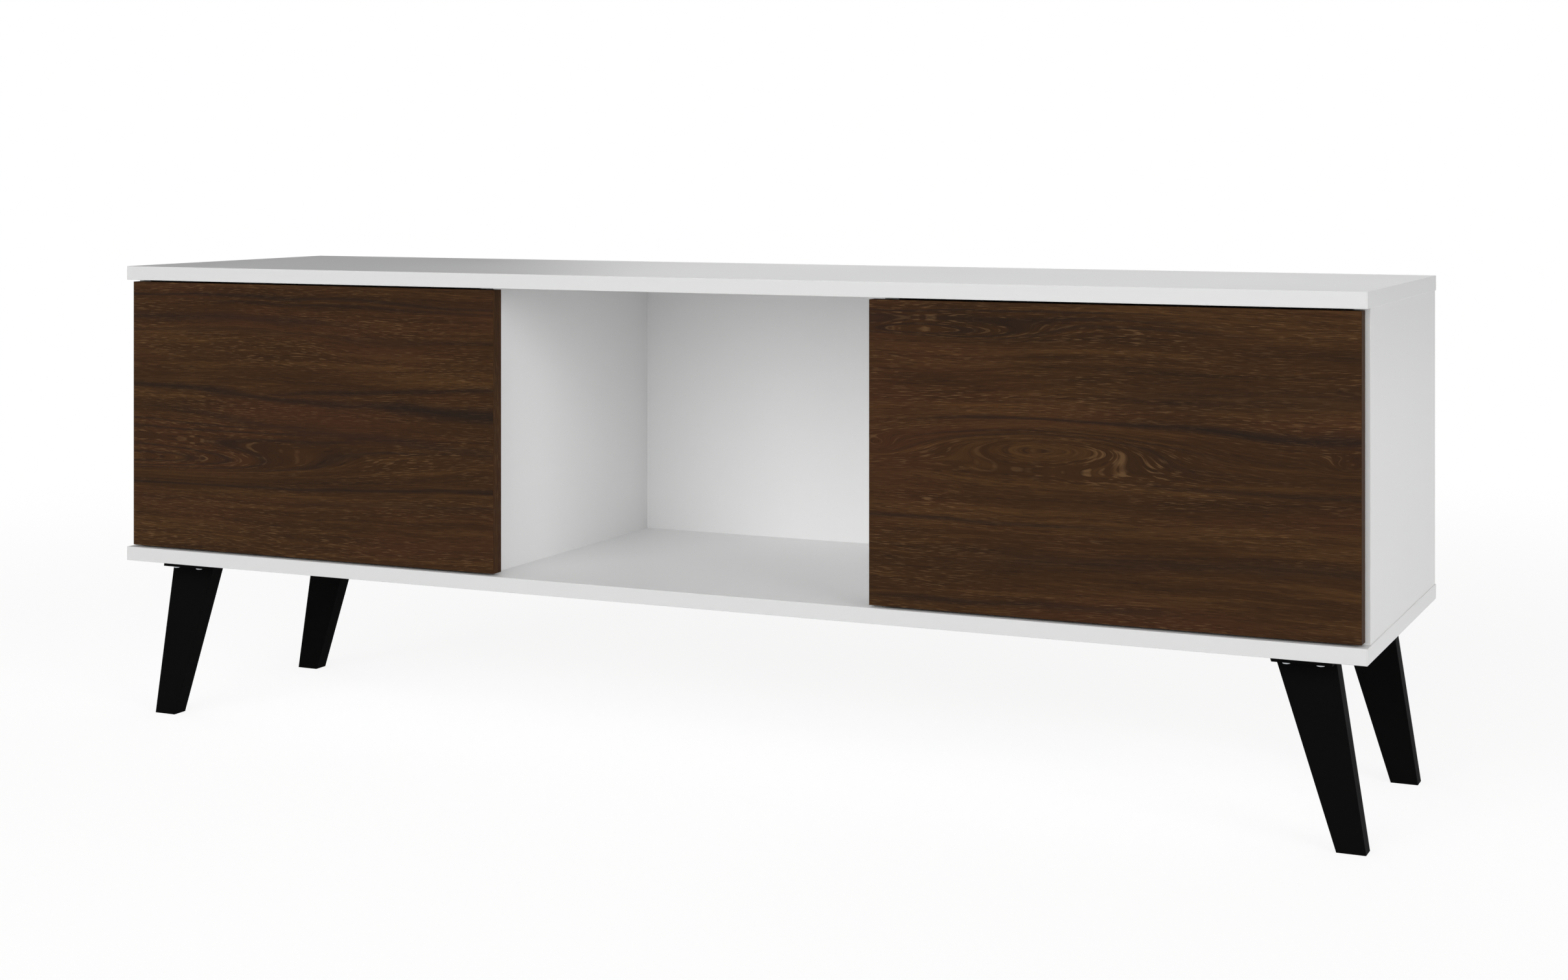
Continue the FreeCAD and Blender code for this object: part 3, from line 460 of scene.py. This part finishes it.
# %% [markdown]
# ## Walnut foil: how the figure is made
# Sawn wood shows lines where the saw cut through the year rings. If every
# place on the board had a ring height, the lines would be its contours: long
# and nearly straight where the height only rises across the board, and closed
# eyes or flames where the rings bulge. So the figure is built as a height: the
# place across the grain, plus a slow drift, plus a few bulges. All finer
# detail (bands, fibres, pores) then reads that height instead of the plain
# place, and follows the lines by itself.

# %% Node groups: ring height
bulge, given, result = open_group(
    "ring_bulge",
    {"Along": ("value", 0.0), "Across": ("value", 0.0),
     "Centre Along": ("value", 0.0), "Centre Across": ("value", 0.0),
     "Half Length": ("value", 0.1), "Half Height": ("value", 0.02), "Rise": ("value", 0.02)},
    {"Rise": "value"})
off_along = calc(bulge, "DIVIDE", calc(bulge, "SUBTRACT", given["Along"], given["Centre Along"]), given["Half Length"])
off_across = calc(bulge, "DIVIDE", calc(bulge, "SUBTRACT", given["Across"], given["Centre Across"]), given["Half Height"])
off = calc(bulge, "ADD", calc(bulge, "POWER", off_along, 2.0), calc(bulge, "POWER", off_across, 2.0))
bell = calc(bulge, "EXPONENT", calc(bulge, "MULTIPLY", off, -1.0))
bulge.links.new(calc(bulge, "MULTIPLY", bell, given["Rise"]), result["Rise"])

# %% [markdown]
# Some lines on the board are much darker than the rest: the late wood of a dry
# summer. Each is a thin band at one ring height, which swells and thins along
# its way and fades out at both ends.

# %% Node group: dark line
line_group, given, result = open_group(
    "dark_line",
    {"Along": ("value", 0.0), "Height": ("value", 0.0), "Level": ("value", 0.0), "Slope": ("value", 0.0),
     "Thickness": ("value", 0.003), "Start": ("value", -1.0), "End": ("value", 1.0), "Strength": ("value", 0.5)},
    {"Mask": "value"})
sway = noise(line_group, vector_of(line_group, calc(line_group, "MULTIPLY", given["Along"], 7.0),
                                   calc(line_group, "MULTIPLY", given["Level"], 90.0)), detail=2.0)
middle = calc(line_group, "MULTIPLY_ADD", given["Slope"], given["Along"], given["Level"])
middle = calc(line_group, "ADD", middle, between(line_group, sway, 0.2, 0.8, -2.0 * MM, 2.0 * MM))
swell = noise(line_group, vector_of(line_group, calc(line_group, "MULTIPLY", given["Along"], 14.0),
                                    calc(line_group, "MULTIPLY", given["Level"], 50.0), 3.0), detail=2.0)
thickness = calc(line_group, "MULTIPLY", given["Thickness"], between(line_group, swell, 0.3, 0.7, 0.55, 1.45))
off = calc(line_group, "DIVIDE", calc(line_group, "SUBTRACT", given["Height"], middle), thickness)
core = calc(line_group, "EXPONENT", calc(line_group, "MULTIPLY", calc(line_group, "POWER", off, 2.0), -1.0))
LINE_FADE = 0.06
entry = between(line_group, calc(line_group, "SUBTRACT", given["Along"], given["Start"]), -LINE_FADE, LINE_FADE, smooth=True)
leave = between(line_group, calc(line_group, "SUBTRACT", given["End"], given["Along"]), -LINE_FADE, LINE_FADE, smooth=True)
mask = calc(line_group, "MULTIPLY", calc(line_group, "MULTIPLY", entry, leave), core)
line_group.links.new(calc(line_group, "MULTIPLY", mask, given["Strength"]), result["Mask"])

# %% [markdown]
# The wood itself is four layers of noise, each stretched along the grain:
# broad bands, narrow streaks, fibres and, finest of all, short light flecks
# and dark pores. The stretch is what makes noise look like wood. Its numbers
# say how many times the pattern changes in a metre, along and across.

# %% Node group: walnut
walnut_group, given, result = open_group(
    "walnut",
    {"Along": ("value", 0.0), "Height": ("value", 0.0), "Dark": ("value", 0.0), "Flecks": ("value", 1.0)},
    {"Color": "colour", "Pores": "value", "Sheen": "value"})


def stretched(tree, sockets, along, across, seed, detail=3.0, roughness=0.55):
    """Noise with its own count of changes in a metre, along and across the grain."""
    x = calc(tree, "MULTIPLY", sockets["Along"], along)
    y = calc(tree, "MULTIPLY", sockets["Height"], across)
    return noise(tree, vector_of(tree, x, y, seed), detail=detail, roughness=roughness)


bands = stretched(walnut_group, given, 2.2, 38.0, 1.7)
streaks = stretched(walnut_group, given, 5.0, 190.0, 5.1)
fibres = stretched(walnut_group, given, 30.0, 900.0, 9.4)
warmth = stretched(walnut_group, given, 2.6, 14.0, 13.9, detail=2.0)
light_flecks = stretched(walnut_group, given, 75.0, 1150.0, 21.2, detail=1.0)
pores = stretched(walnut_group, given, 60.0, 1500.0, 31.6, detail=1.0)
fleck_zone = stretched(walnut_group, given, 6.0, 40.0, 27.3, detail=2.0)

tone = calc(walnut_group, "MULTIPLY", between(walnut_group, bands, 0.3, 0.7, -1.0, 1.0), 0.20)
tone = calc(walnut_group, "MULTIPLY_ADD", between(walnut_group, streaks, 0.3, 0.7, -1.0, 1.0), 0.20, tone)
tone = calc(walnut_group, "MULTIPLY_ADD", between(walnut_group, fibres, 0.3, 0.7, -1.0, 1.0), 0.15, tone)
tone = calc(walnut_group, "ADD", tone, 0.50)
ramp = place(walnut_group, "ShaderNodeValToRGB", {0: tone}).color_ramp
ramp_node = walnut_group.nodes[-1]
STEPS = ((0.0, display(41, 28, 18)), (0.5, display(60, 39, 22)), (1.0, display(84, 58, 32)))
ramp.elements[0].position, ramp.elements[0].color = STEPS[0]
ramp.elements[1].position, ramp.elements[1].color = STEPS[2]
middle_step = ramp.elements.new(STEPS[1][0])
middle_step.color = STEPS[1][1]
wood = ramp_node.outputs["Color"]
wood = mix_colours(walnut_group, between(walnut_group, warmth, 0.48, 0.72, 0.0, 0.55), wood, display(72, 43, 28))
zone = between(walnut_group, fleck_zone, 0.42, 0.62, 0.25, 1.0)
fleck_mask = calc(walnut_group, "MULTIPLY", between(walnut_group, light_flecks, 0.56, 0.70, 0.0, 0.55), zone)
fleck_mask = calc(walnut_group, "MULTIPLY", fleck_mask, given["Flecks"])
wood = mix_colours(walnut_group, fleck_mask, wood, display(112, 84, 56))
pore_mask = between(walnut_group, pores, 0.58, 0.72, 0.0, 0.6)
wood = mix_colours(walnut_group, pore_mask, wood, display(38, 26, 19))
wood = mix_colours(walnut_group, given["Dark"], wood, display(34, 27, 23))
walnut_group.links.new(wood, result["Color"])
walnut_group.links.new(calc(walnut_group, "SUBTRACT", 1.0, pore_mask), result["Pores"])
walnut_group.links.new(bands, result["Sheen"])

# %% [markdown]
# ## Walnut doors
# Both doors use the same wood, but each has its own figure. On the left door
# long lines sweep down to the right, over a flat flame low down. The right
# door has a slim eye near the top and a second flame in the middle. Levels are
# shares of the door's height, counted from its lower edge, and places along
# are shares of its width, counted from its left edge. The edge bands are cut
# along the grain, so the object's Normal turns the pattern there.

# %% Walnut doors
def walnut_door(node_name, seed, drift, bulges, dark_lines):
    low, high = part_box(node_name)
    width, height = high.x - low.x, high.z - low.z
    material, tree, shader, spot = open_material("walnut_foil_" + node_name, Specular_IOR_Level=0.06)
    here = parts_of(tree, spot["Object"])
    facing = parts_of(tree, spot["Normal"])
    on_side = between(tree, calc(tree, "ABSOLUTE", facing["X"]), 0.6, 0.8)
    on_end = between(tree, calc(tree, "ABSOLUTE", facing["Z"]), 0.6, 0.8)
    x = calc(tree, "SUBTRACT", here["X"], low.x)
    z = calc(tree, "SUBTRACT", here["Z"], low.z)
    y = calc(tree, "ADD", here["Y"], 3.0)
    turned = calc(tree, "MULTIPLY_ADD", calc(tree, "SUBTRACT", z, x), on_side, x)
    banded = calc(tree, "MAXIMUM", on_side, on_end)
    across = calc(tree, "MULTIPLY_ADD", calc(tree, "SUBTRACT", y, z), banded, z)
    slow = noise(tree, vector_of(tree, calc(tree, "MULTIPLY", turned, 3.0), calc(tree, "MULTIPLY", across, 12.0), seed), detail=2.0)
    ring = calc(tree, "ADD", across, between(tree, slow, 0.2, 0.8, -drift, drift))
    for at, level, half_length, half_height, rise in bulges:
        lift = group_node(tree, bulge, {
            "Along": turned, "Across": across, "Centre Along": at * width, "Centre Across": level * height,
            "Half Length": half_length * width, "Half Height": half_height * height, "Rise": rise * height})
        ring = calc(tree, "ADD", ring, lift["Rise"])
    dark = None
    for level, slope, thickness, start, end, strength in dark_lines:
        mask = group_node(tree, line_group, {
            "Along": turned, "Height": ring, "Level": level * height, "Slope": slope * height / width,
            "Thickness": thickness * height, "Start": start * width, "End": end * width, "Strength": strength})["Mask"]
        dark = mask if dark is None else calc(tree, "MAXIMUM", dark, mask)
    wood = group_node(tree, walnut_group, {
        "Along": calc(tree, "ADD", turned, seed), "Height": ring, "Dark": dark, "Flecks": 1.0})
    roughness = between(tree, wood["Sheen"], 0.3, 0.7, 0.50, 0.58)
    feed(tree, shader, Base_Color=wood["Color"], Roughness=roughness,
         Normal=bump(tree, wood["Pores"], 0.03 * MM))
    finish_nodes(material, [node_name])
    return material


# at, level, half length, half height, rise: all shares of the door
LEFT_BULGES = [(0.02, 0.325, 0.55, 0.065, 0.16)]
# level, slope, thickness, start, end, strength
LEFT_LINES = [
    (0.960, -0.025, 0.006, -0.2, 1.2, 0.60),
    (0.942, -0.025, 0.005, 0.20, 1.2, 0.45),
    (0.870, -0.02, 0.018, -0.2, 0.60, 0.50),
    (0.812, 0.00, 0.012, -0.2, 1.2, 0.28),
    (0.620, -0.08, 0.014, -0.2, 0.70, 0.70),
    (0.625, -0.08, 0.026, 0.62, 1.2, 0.80),
    (0.580, 0.065, 0.009, 0.40, 1.2, 0.60),
    (0.540, -0.14, 0.016, 0.10, 1.2, 0.40),
    (0.474, 0.00, 0.0035, -0.2, 0.40, 0.55),
    (0.452, 0.00, 0.0035, -0.2, 0.52, 0.60),
    (0.430, 0.00, 0.0040, -0.2, 0.66, 0.55),
    (0.408, 0.00, 0.0045, 0.30, 0.82, 0.55),
    (0.275, 0.00, 0.010, -0.2, 1.2, 0.60),
    (0.190, 0.02, 0.012, 0.50, 1.2, 0.30),
]
RIGHT_BULGES = [
    (0.12, 0.90, 0.30, 0.034, 0.075), (0.38, 0.55, 0.26, 0.06, -0.11),
    (0.98, 0.53, 0.05, 0.025, 0.04), (0.02, 0.53, 0.04, 0.022, 0.04)]
RIGHT_LINES = [
    (0.962, 0.00, 0.0035, -0.2, 0.60, 0.60),
    (0.945, 0.00, 0.0045, -0.2, 0.70, 0.50),
    (0.925, 0.00, 0.0045, 0.15, 0.75, 0.45),
    (0.610, 0.00, 0.011, 0.15, 0.70, 0.65),
    (0.612, 0.00, 0.018, 0.60, 1.2, 0.75),
    (0.690, 0.03, 0.040, 0.50, 1.2, 0.30),
    (0.520, 0.00, 0.005, 0.10, 0.70, 0.45),
    (0.490, 0.00, 0.006, 0.10, 0.70, 0.45),
    (0.305, 0.01, 0.006, -0.2, 0.50, 0.60),
    (0.180, 0.02, 0.018, 0.25, 1.2, 0.45),
    (0.035, 0.00, 0.010, 0.05, 0.60, 0.50),
    (0.440, 0.00, 0.010, 0.60, 1.2, 0.35),
]
walnut_door("left_door", 2.3, 8.0 * MM, LEFT_BULGES, LEFT_LINES)
walnut_door("right_door", 11.8, 8.0 * MM, RIGHT_BULGES, RIGHT_LINES)

# %% [markdown]
# ## Black legs
# The legs are moulded plastic, nearly black and satin. The fine grain of the
# mould only shows in the way the highlights break up, so it is bump and
# roughness rather than colour.

# %% Black legs
LEGS = ["front_left_leg", "front_right_leg", "back_left_leg", "back_right_leg"]
material, tree, shader, spot = open_material("satin_black_plastic", Specular_IOR_Level=0.004)
moulded = group_node(tree, uneven, {"Spot": spot["Object"], "Broad": 14.0, "Fine": 1300.0})
colour = mix_colours(tree, moulded["Cloud"], (0.0040, 0.0040, 0.0040, 1.0), (0.0050, 0.0050, 0.0050, 1.0))
roughness = between(tree, moulded["Cloud"], 0.3, 0.7, 0.40, 0.50)
feed(tree, shader, Base_Color=colour, Roughness=roughness, Normal=bump(tree, moulded["Grain"], 0.02 * MM))
finish_nodes(material, LEGS)

# %% [markdown]
# ## Metals
# The hinges are nickel-plated steel, the cam locks die-cast zinc, the screws
# and nails bright zinc-plated steel. A metal's look is nearly all roughness:
# plated parts are smooth with faint clouds, cast ones dull and grainy.

# %% Metals
def metal(name, colour_low, colour_high, rough_low, rough_high, grain_depth, members):
    material, tree, shader, spot = open_material(name, Metallic=1.0)
    cloud = group_node(tree, uneven, {"Spot": spot["Object"], "Broad": 90.0, "Fine": 2200.0})
    colour = mix_colours(tree, cloud["Cloud"], colour_low, colour_high)
    roughness = between(tree, cloud["Cloud"], 0.3, 0.7, rough_low, rough_high)
    feed(tree, shader, Base_Color=colour, Roughness=roughness, Normal=bump(tree, cloud["Grain"], grain_depth))
    finish_nodes(material, members)
    return material


slots = {}
for row in frame["record"]["materials"]:
    slots[row["slot"]] = row
print("slots:", sorted(slots))
hinge_parts = [n for n in nodes if any(k in n for k in ("hinge_cup", "hinge_arm", "mounting_plate", "_link"))]
screws = [n for n in nodes if n.endswith("_screws") or n.endswith("_nails")]
pins = [n for n in nodes if n.endswith("cup_pins") or n.endswith("arm_pins")]
metal("nickel_plate", display(196, 194, 190), display(214, 212, 208), 0.20, 0.32, 0.004 * MM, hinge_parts)
metal("zinc_plate", display(186, 190, 194), display(206, 208, 210), 0.26, 0.40, 0.006 * MM, screws)
metal("pin_steel", display(176, 176, 176), display(192, 192, 192), 0.18, 0.26, 0.003 * MM, pins)
metal("cast_zinc", display(160, 162, 164), display(182, 183, 184), 0.42, 0.55, 0.02 * MM, ["cam_locks", "cam_pins"])

# %% [markdown]
# ## Beech dowels
# The dowels hide in the joints, but they get their wood too: pale beech, with
# the grain along the pin and the small dark rays that beech is known by.

# %% Beech dowels
material, tree, shader, spot = open_material("beech", Specular_IOR_Level=0.3)
lengthwise = place(tree, "ShaderNodeMapping", {0: spot["Object"], "Scale": (900.0, 900.0, 60.0)}).outputs[0]
grain = noise(tree, lengthwise, detail=3.0)
colour = mix_colours(tree, grain, display(190, 150, 108), display(222, 188, 146))
rays = noise(tree, place(tree, "ShaderNodeMapping", {0: spot["Object"], "Scale": (1800.0, 1800.0, 350.0)}).outputs[0])
ray_mask = between(tree, rays, 0.60, 0.70, 0.0, 0.6)
colour = mix_colours(tree, ray_mask, colour, display(140, 98, 64))
roughness = between(tree, grain, 0.3, 0.7, 0.6, 0.7)
feed(tree, shader, Base_Color=colour, Roughness=roughness, Normal=bump(tree, grain, 0.02 * MM))
finish_nodes(material, ["wood_dowels"])

# %% Check that every solid piece has a finish
left_over = [n for n, piece in nodes.items() if not piece.material_slots or not piece.material_slots[0].material.use_nodes]
print("pieces without a finish:", left_over)
